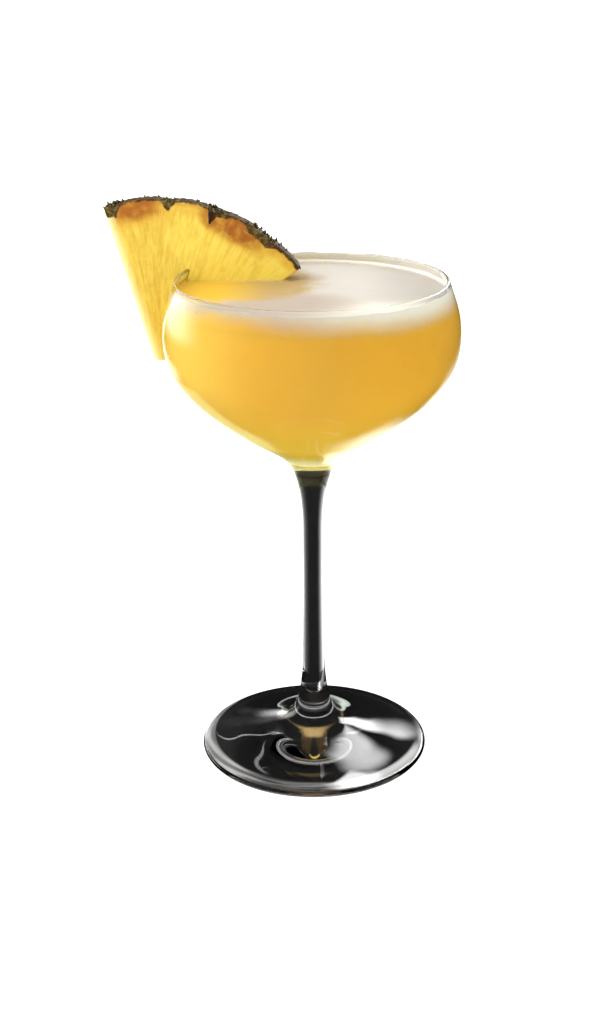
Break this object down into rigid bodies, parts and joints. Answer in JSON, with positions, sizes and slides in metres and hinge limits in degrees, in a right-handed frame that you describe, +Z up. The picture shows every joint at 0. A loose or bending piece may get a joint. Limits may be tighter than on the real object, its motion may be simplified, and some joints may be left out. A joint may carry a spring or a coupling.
{
  "type": "pineapple cocktail in a coupe glass",
  "caption": "Stemmed coupe glass filled with cloudy pineapple drink under a layer of pale froth, with a scalloped pineapple wedge slit onto the rim.",
  "frame": {"origin": "centre of the foot's flat underside, on the glass's axis", "axes": "+Z up along the stem, -Y towards the front of the drink, +X to the right; the wedge is on the rim at the left, towards -X"},
  "size_m": [0.1203, 0.1006, 0.1982],
  "materials": {
    "clear_glass": "clear, polished and colourless",
    "froth": "soft, fine-bubbled froth, milky white",
    "juice": "cloudy golden yellow drink",
    "pineapple": "moist fibrous yellow flesh with a thin olive-brown rind"
  },
  "bodies": {
    "root": {"coupe_glass": "clear_glass", "foam": "froth", "pineapple_drink": "juice", "pineapple_wedge": "pineapple"}
  },
  "joints": []
}
